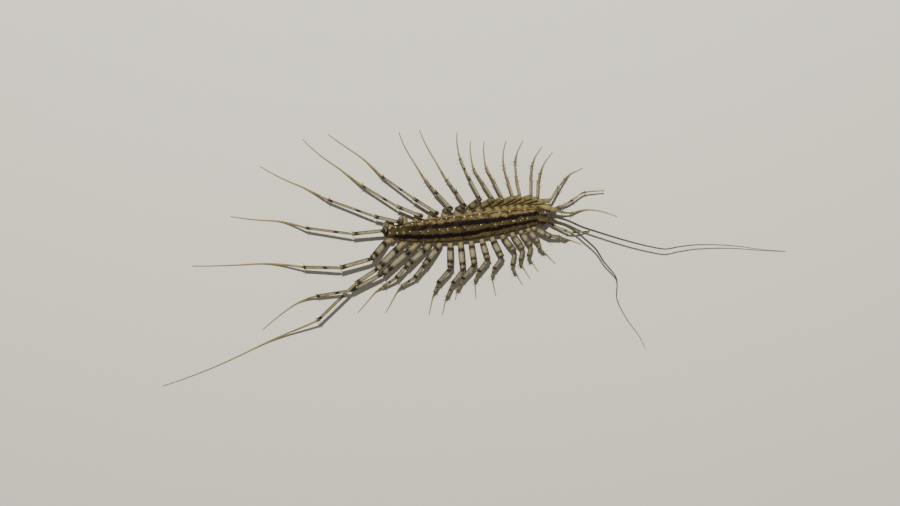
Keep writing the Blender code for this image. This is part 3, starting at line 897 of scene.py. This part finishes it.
def makeLeg(word, pair):
    name = legNames[(word, pair)]
    rings = walkRings(name, legRoots[(word, pair)])
    middles = [ringMiddle(ring) for ring in rings]
    draw = random.Random(pair * 2 + (word == "left"))
    size = mix(*legRange["size"], pair / legPairs[-1])
    slim, contrast, warmth = 1.0, mix(legRange["contrast"], 1.0, ease(2, 8, pair)), 0.0
    if word == "left":  # thinner, browner and with paler bands to the front
        slim = mix(*legRange["leftSlim"], ease(8, 14, pair))
        contrast = mix(legRange["leftContrast"], 1.0, ease(6, 11, pair))
        warmth = 1 - ease(7, 11, pair)
    knee = (middles[5] + middles[6]) / 2
    bend = (middles[9] + middles[10]) / 2
    ankle = toward(middles[13], middles[12], -0.22)
    shape = newShape()
    addCoxa(shape, middles, size, warmth)
    chains = {
        "prefemur": [middles[1] * 0.6 + middles[2] * 0.4, *middles[2:6], knee],
        "femur": [toward(knee, middles[5], 0.12), *middles[6:10], bend],
        "tibia": [toward(bend, middles[9], 0.1), *middles[10:14], ankle],
    }
    for part, chain in chains.items():
        stout = mix(legRange["leftStout"], 1.0, slim) if part == "prefemur" else slim
        addPodomere(shape, part, chain, size * stout, contrast, warmth, draw)
    addTarsus(shape, rings, middles, ankle, size, draw)
    finishPiece(f"{name}_shell", shape, "legShell", (name,), 40)


for word, pair in legNames:
    makeLeg(word, pair)
print("legs made")


# Head: domed capsule with sutures, rims round the eyes and feeler sockets, stripes running on from the back

headMiddle = boxMiddle("head")
headShape = {
    "heading": -7, "halfSizes": (1.37, 1.4, 0.96), "boxiness": 2.6, "taper": 0.1, "steps": 150,
    "eyePlace": (0.48, 1.0, 0.3), "socketRim": 0.06, "sutureDepth": 0.05,
    "stripe": 0.7, "stripeHalf": 0.22, "hairs": 150, "seed": 31,
    "hairLength": (0.12, 0.3), "hairRadius": 0.014,
}
headTurn = radians(headShape["heading"])
headAhead = Vector((cos(headTurn), sin(headTurn), 0))
headLeft = leftOf(headAhead)


def headAt(direction):
    x, y, z = direction
    long, wide, tall = [half * mm for half in headShape["halfSizes"]]
    power = headShape["boxiness"]
    reach = (abs(x / long) ** power + abs(y / wide) ** power + abs(z / tall) ** power) ** (-1 / power)
    cheek = 1 - headShape["taper"] * max(0.0, x * reach / long) ** 2
    return Vector((x * reach, y * reach * cheek, z * reach))


def headPlace(local):
    return headMiddle + headAhead * local.x + headLeft * local.y + up * local.z


def intoHead(place):
    away = place - headMiddle
    return Vector((away.dot(headAhead), away.dot(headLeft), away.z))


def addGlobe(shape, rows, columns, pointAt):
    grid = []
    for row in range(rows + 1):
        tilt = pi * (row / rows - 0.5)
        turns = [2 * pi * column / columns for column in range(columns)]
        ring = [Vector((cos(tilt) * cos(turn), cos(tilt) * sin(turn), sin(tilt))) for turn in turns]
        grid.append([addPoint(shape, *pointAt(direction)) for direction in ring])
    joinRings(shape, grid, aroundMap)
    return grid


feelerNames = [f"{kind}_{word}" for kind in ("antenna", "palp", "fang") for word in sideSigns]
feelerRings = {name: walkRings(name, nearestPlace(name, headMiddle)) for name in feelerNames}


def headPoint(direction, eyes, sockets):
    look = headShape
    local = headAt(direction)
    x, y, z = local / mm
    onTop = ease(-0.1, 0.5, z)
    out = 0.0
    rim = 0.0
    for eye in eyes:
        away = (local - eye) / mm
        rim = max(rim, bell(hypot(away.x / 0.78, away.z / 0.52, away.y / 0.75), 1.0, 0.16))
    for socket in sockets:
        away = (local - socket).length / mm
        rim = max(rim, 0.8 * bell(away, 0.52, 0.1))
        out -= 0.12 * bell(away, 0.0, 0.42)
    fork = abs(abs(y) - max(0.0, (x - 0.15) * 0.45))
    suture = bell(fork, 0, 0.05) * onTop * ease(-1.3, -1.1, x) * (1 - ease(0.95, 1.15, x))
    collar = bell(x, -0.98, 0.06)
    clypeus = bell(x, 1.12, 0.05) * bell(y, 0, 0.55) * ease(-0.5, 0.0, z)
    cheekLine = bell(z, -0.28, 0.05) * ease(0.2, 0.6, abs(y))
    out += look["socketRim"] * rim - look["sutureDepth"] * max(suture, 0.7 * collar, clypeus, cheekLine)
    out += 0.03 * bell(abs(y), 0.32, 0.22) * onTop
    out += 0.016 * rough(local, 0.28) + 0.02 * rough(local, 0.9)
    stripe = bell(abs(y), look["stripe"] + 0.05 * rough(local, 0.7), look["stripeHalf"]) ** 0.6
    stripe *= onTop * (1 - ease(0.5, 0.95, x))
    stripe *= 1 - 0.75 * bell(x + 0.1 * copysign(1, y), -0.55, 0.13)
    dark = max(1.35 * stripe - 0.1, 0.55 * suture, 0.5 * collar, 0.5 * clypeus, 0.45 * cheekLine)
    dark = max(dark, 0.35 * bell(z, -0.1, 0.2)) + 0.16 * rough(local, 0.2)
    gold = 0.35 + 0.55 * bell(abs(y), 0.0, 0.4) * onTop + 0.5 * rim + 0.6 * ease(0.9, 1.3, x)
    gold += 0.3 * rough(local, 0.6)
    return headPlace(local + direction * out * mm), clamp(dark), clamp(gold * (1 - dark))


def makeHead():
    look = headShape
    shape = newShape()
    count = look["steps"]
    sockets = [intoHead(ringMiddle(feelerRings[f"antenna_{word}"][0])) for word in sideSigns]
    x, y, z = look["eyePlace"]
    eyes = [Vector((x, side * y, z)) * mm for side in sideSigns.values()]
    rows = addGlobe(shape, count // 2, count, lambda direction: headPoint(direction, eyes, sockets))
    draw = random.Random(look["seed"])
    for _ in range(look["hairs"]):
        row = draw.randint(len(rows) // 3, len(rows) - 8)
        step = draw.randint(0, count - 1)
        place = shape["points"][rows[row][step]]
        if min((intoHead(place) - eye).length for eye in eyes) < 0.75 * mm:
            continue
        lean = (place - headMiddle).normalized() + headAhead * 0.5
        length = draw.uniform(*look["hairLength"]) * mm
        corner = (step / count, row / (len(rows) - 1))
        addHair(shape, place, lean, length, look["hairRadius"] * mm, 0.6, 0.3, corner, bend=0.1, joints=2)
    finishPiece("head_capsule", shape, "headShell", ("head",), 60)


eyeShape = {"grow": 1.16, "valley": -0.006, "shoulder": 0.014, "crown": 0.02, "facet": 0.55}


def makeEye(word):
    look = eyeShape
    name = f"eye_{word}"
    middle = boxMiddle(name)
    grow = look["grow"]
    places = [vert.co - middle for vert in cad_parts[name].data.vertices]
    along = max(places, key=lambda place: hypot(place.x, place.y)).copy()
    along.z = 0
    half = along.length * grow
    along.normalize()
    across = leftOf(along)
    wide = max(abs(place.dot(across)) for place in places) * grow
    tall = max(abs(place.z) for place in places) * grow
    globe = bmesh.new()
    bmesh.ops.create_icosphere(globe, subdivisions=4, radius=1)
    shape = newShape()

    def turned(direction, x, y, z):
        return along * direction.x * x + across * direction.y * y + up * direction.z * z

    def lensPoint(direction, lift, dark):
        place = middle + turned(direction, half, wide, tall)
        outward = turned(direction, 1, 1, 1).normalized()
        return addPoint(shape, place + outward * lift * mm, dark, 0.3 * max(0, direction.z))

    centres = {face: face.calc_center_median().normalized() for face in globe.faces}
    corners = {face: lensPoint(centre, look["valley"], 1.0) for face, centre in centres.items()}
    for vert in globe.verts:
        east = vert.co.cross(Vector((0.3, 0.5, 0.81))).normalized()
        north = vert.co.cross(east)
        ring = list(vert.link_faces)
        ring.sort(key=lambda face: atan2(centres[face].dot(north), centres[face].dot(east)))
        halfway = [vert.co.lerp(centres[face], look["facet"]).normalized() for face in ring]
        inner = [lensPoint(direction, look["shoulder"], 0.6) for direction in halfway]
        top = lensPoint(vert.co.normalized(), look["crown"], 0.5)
        u, v = 0.5 + atan2(vert.co.y, vert.co.x) / 2 / pi * 0.98, 0.5 + 0.48 * vert.co.z
        square = ((u, v), (u + 0.01, v), (u + 0.01, v + 0.01), (u, v + 0.01))
        for index, face in enumerate(ring):
            after = (index + 1) % len(ring)
            addFace(shape, (corners[face], corners[ring[after]], inner[after], inner[index]), square)
            addFace(shape, (inner[index], inner[after], top), (square[0], square[1], square[3]))
    globe.free()
    finishPiece(f"eye_facets_{word}", shape, "eyeShell", (name,))


# Antennae of hundreds of short rings, palps and fangs, all with fine bristles, and the mouth lobes

antennaShape = {
    "article": 0.26, "start": 0.22, "end": 0.05, "hair": 0.2, "sides": 10, "seed": 51,
    "swells": ((0.05, 0.88), (0.2, 1.0), (0.8, 1.02), (0.95, 0.9)), "scapeGrow": 0.75,
    "rootDepth": 0.42, "hairRadius": 0.012,
}
palpShape = {
    "start": 0.33, "end": 0.1, "joints": (0.27, 0.52, 0.74), "sides": 12, "step": 0.11,
    "rootLow": 0.3, "rootDepth": 0.45, "hairs": 260, "hairLength": (0.16, 0.3), "hairRadius": 0.014,
    "spineLength": (0.4, 0.6), "spineRadius": 0.04, "seed": 71,
}
fangShape = {
    "end": 0.1, "tip": 0.03, "grooves": (0.28, 0.42, 0.55), "sides": 16, "step": 0.07, "seed": 91,
    "rootLow": 0.4, "rootDepth": 0.5, "hairs": 40, "hairLength": (0.12, 0.22), "hairRadius": 0.014,
}


def settle(rings, radii):
    places = []
    for index, ring in enumerate(rings):
        share = index / (len(rings) - 1)
        middle = ringMiddle(ring)
        low = min(place.z for place in ring) + radii(share)
        places.append(Vector((middle.x, middle.y, mix(middle.z, low, ease(0.2, 0.7, share)))))
    return places


def makeAntenna(word, side):
    look = antennaShape
    name = f"antenna_{word}"

    def radiusAt(share):
        return taper(look, share ** 0.9) * mm

    places = settle(feelerRings[name], radiusAt)
    places.insert(0, toward(places[0], headMiddle, look["rootDepth"]))
    line = curveThrough(places, look["article"] * mm)
    count = len(line) - 1
    fine, radii = ringedLine(line, look["swells"], radiusAt)
    for index in range(len(fine)):
        away = (line[index // len(look["swells"])] - line[0]).length
        radii[index] *= 1 + look["scapeGrow"] * (1 - ease(0.4 * mm, 1.5 * mm, away))
    keepAboveFloor(fine, radii)

    def tone(share, angle, place):
        joint = ringSeam(share * count, 0.1)
        dark = 0.4 * joint + 0.3 * (1 - ease(0, 0.3, share)) + 0.25 * rough(place, 0.8)
        return clamp(dark), clamp(ease(0.15, 0.8, share) * (1 - 0.5 * joint))

    shape = newShape()
    tube = addTube(shape, fine, radii, look["sides"], tone, wholeMap)
    draw = random.Random(look["seed"] + side)
    for index in range(2, len(fine), 4):
        for turn in range(5):
            angle = 2 * pi * turn / 5 + draw.uniform(-0.3, 0.3)
            out = sideways(tube["frames"][index], angle)
            length = look["hair"] * mix(1, 0.5, index / len(fine)) * draw.uniform(0.6, 1.1) * mm
            lean = (tube["frames"][index][0] + out * 0.9).normalized()
            if fine[index].z + out.z * radii[index] * 0.9 + lean.z * length >= 0.01 * mm:
                addBristle(shape, tube, index, angle, 0.9, 0.9, length, look["hairRadius"] * mm, 0.4, 0.5)
    finishPiece(f"antenna_rings_{word}", shape, "feelerShell", (name,), 40)


def makePalp(word, side):
    look = palpShape
    name = f"palp_{word}"

    def radiusAt(share):
        swell = sum(0.16 * bell(share, joint - 0.02, 0.025) - 0.22 * bell(share, joint + 0.012, 0.012)
                    for joint in look["joints"])
        return taper(look, share ** 0.85) * (1 + swell) * mm

    places = settle(feelerRings[name], radiusAt)
    places.insert(0, toward(places[0], headMiddle - up * look["rootLow"] * mm, look["rootDepth"]))
    line = curveThrough(places, look["step"] * mm)
    last = len(line) - 1

    def tone(share, angle, place):
        dark = max(0.85 * bell(share, joint - 0.05, 0.035) for joint in look["joints"])
        gold = max(bell(share, joint + 0.03, 0.03) for joint in look["joints"]) + 0.6 * ease(0.7, 0.9, share)
        return clamp(dark + 0.25 * rough(place, 0.3)), clamp(gold)

    shape = newShape()
    tube = addTube(shape, line, radiusAt, look["sides"], tone, wholeMap, ridge=0.04)
    draw = random.Random(look["seed"] + side)
    for _ in range(look["hairs"]):
        share = draw.uniform(0.08, 0.99) ** 0.7
        angle = draw.uniform(0, 2 * pi)
        length = mix(*look["hairLength"], share) * draw.uniform(0.6, 1.1) * mm
        index = int(share * last)
        addBristle(shape, tube, index, angle, 0.93, 0.7, length, look["hairRadius"] * mm, 0.6, 0.2)
    for joint in look["joints"]:
        for turn in range(5):
            angle = 2 * pi * (turn + 0.25) / 5
            length = draw.uniform(*look["spineLength"]) * mm
            addSpine(shape, tube, int((joint - 0.03) * last), angle, 0.9, length, look["spineRadius"] * mm)
    finishPiece(f"palp_shell_{word}", shape, "legShell", (name,), 40)


def makeFang(word, side):
    look = fangShape
    name = f"fang_{word}"
    places = [ringMiddle(ring) for ring in feelerRings[name]]
    start = (feelerRings[name][0][0] - places[0]).length / mm * 1.1
    places.insert(0, toward(places[0], headMiddle - up * look["rootLow"] * mm, look["rootDepth"]))
    line = curveThrough(places, look["step"] * mm)
    last = len(line) - 1

    def radiusAt(share):
        if share == 1:
            return look["tip"] * mm
        groove = sum(0.13 * bell(share, place, 0.02) for place in look["grooves"])
        return mix(start, look["end"], ease(0.25, 1.0, share)) * (1 - groove) * mm

    def tone(share, angle, place):
        groove = max(bell(share, place, 0.02) for place in look["grooves"])
        return clamp(max(0.6 * groove, ease(0.68, 0.92, share))), 1 - ease(0.1, 0.7, share)

    shape = newShape()
    tube = addTube(shape, line, radiusAt, look["sides"], tone, wholeMap)
    draw = random.Random(look["seed"] + side)
    for _ in range(look["hairs"]):
        index = int(draw.uniform(0.1, 0.65) * last)
        angle = draw.uniform(0, 2 * pi)
        length = draw.uniform(*look["hairLength"]) * mm
        addBristle(shape, tube, index, angle, 0.95, 1 / 0.6, length, look["hairRadius"] * mm, 0.5, 0.3)
    finishPiece(f"fang_shell_{word}", shape, "fangShell", (name,), 50)


lobeShape = {"place": (0.85, 0.3, -0.78), "halfSizes": (0.42, 0.26, 0.2), "turn": -0.2, "notch": 0}
lipShape = {"place": (1.2, 0, -0.42), "halfSizes": (0.24, 0.55, 0.14), "turn": 0, "notch": 0.3}


def makeLobe(name, look, side, shell):
    shape = newShape()
    x, y, z = look["place"]
    centre = headPlace(Vector((x, y * side, z)) * mm)
    turn = look["turn"] * side
    ahead = headAhead * cos(turn) + headLeft * sin(turn)
    left = headLeft * cos(turn) - headAhead * sin(turn)
    long, wide, tall = look["halfSizes"]

    def pointAt(direction):
        x, y, z = direction
        pinch = 1 - look["notch"] * bell(y, 0, 0.16) * ease(0.1, 0.8, x)
        place = centre + (ahead * x * long * pinch + left * y * wide + up * z * tall) * mm
        dark = 0.5 * ease(0.5, 1.0, x) + 0.3 * rough(place, 0.3)
        return place, max(0, dark), 0.5

    addGlobe(shape, 20, 32, pointAt)
    finishPiece(name, shape, shell, ())


makeHead()
for word, side in sideSigns.items():
    makeEye(word)
    makeAntenna(word, side)
    makePalp(word, side)
    makeFang(word, side)
    makeLobe(f"mouth_lobe_{word}", lobeShape, side, "fangShell")
makeLobe("lip_plate", lipShape, 1, "headShell")
print("head dressed")


# Floor, light and camera

floorShape = {"wide": 1.2, "colour": (0.56, 0.54, 0.465, 1), "rough": 0.6}
lightShape = {
    "toward": (-0.05, 0.57, 1.0), "away": 0.5, "size": 0.009, "power": 5.0, "colour": (1.0, 0.96, 0.9),
}
roomShape = {"colour": (1.0, 0.975, 0.94, 1), "strength": 0.26}
view = {
    "tilt": 20, "away": 330, "pixel": 0.1875, "headShift": (90.9, 34.9), "width": 900, "film": 36,
}


def makeFloor():
    half = floorShape["wide"] / 2
    corners = [(-half, -half, 0), (half, -half, 0), (half, half, 0), (-half, half, 0)]
    mesh = bpy.data.meshes.new("floor")
    mesh.from_pydata(corners, [], [(0, 1, 2, 3)])
    material, shader = newMaterial("floorPaint")
    shader.inputs["Base Color"].default_value = floorShape["colour"]
    shader.inputs["Roughness"].default_value = floorShape["rough"]
    mesh.materials.append(material)
    addObject("floor", mesh)


def makeLight():
    lamp = bpy.data.lights.new("keyLight", "AREA")
    lamp.size = lightShape["size"]
    lamp.energy = lightShape["power"]
    lamp.color = lightShape["colour"]
    holder = addObject("keyLight", lamp)
    direction = Vector(lightShape["toward"]).normalized()
    holder.location = direction * lightShape["away"]
    holder.rotation_euler = direction.to_track_quat("Z", "Y").to_euler()
    world = bpy.data.worlds.new("softRoom")
    world.use_nodes = True
    room = world.node_tree.nodes["Background"]
    room.inputs["Color"].default_value = roomShape["colour"]
    room.inputs["Strength"].default_value = roomShape["strength"]
    bpy.context.scene.world = world


def makeCamera():
    tilt = radians(view["tilt"])
    scale = view["pixel"] * mm
    rightward, upward = [shift * scale for shift in view["headShift"]]  # of the head, from the middle
    forward = (upward + headMiddle.z * sin(tilt)) / cos(tilt)
    target = Vector((headMiddle.x - rightward, headMiddle.y - forward, 0))
    camera = addObject("camera", bpy.data.cameras.new("camera"))
    camera.data.lens = view["film"] * view["away"] / (view["width"] * view["pixel"])
    camera.data.clip_start = 0.01
    camera.location = target + Vector((0, sin(tilt), cos(tilt))) * view["away"] * mm
    camera.rotation_euler = (-tilt, 0, 0)
    bpy.context.scene.camera = camera


makeFloor()
makeLight()
makeCamera()
print("floor, light and camera set")
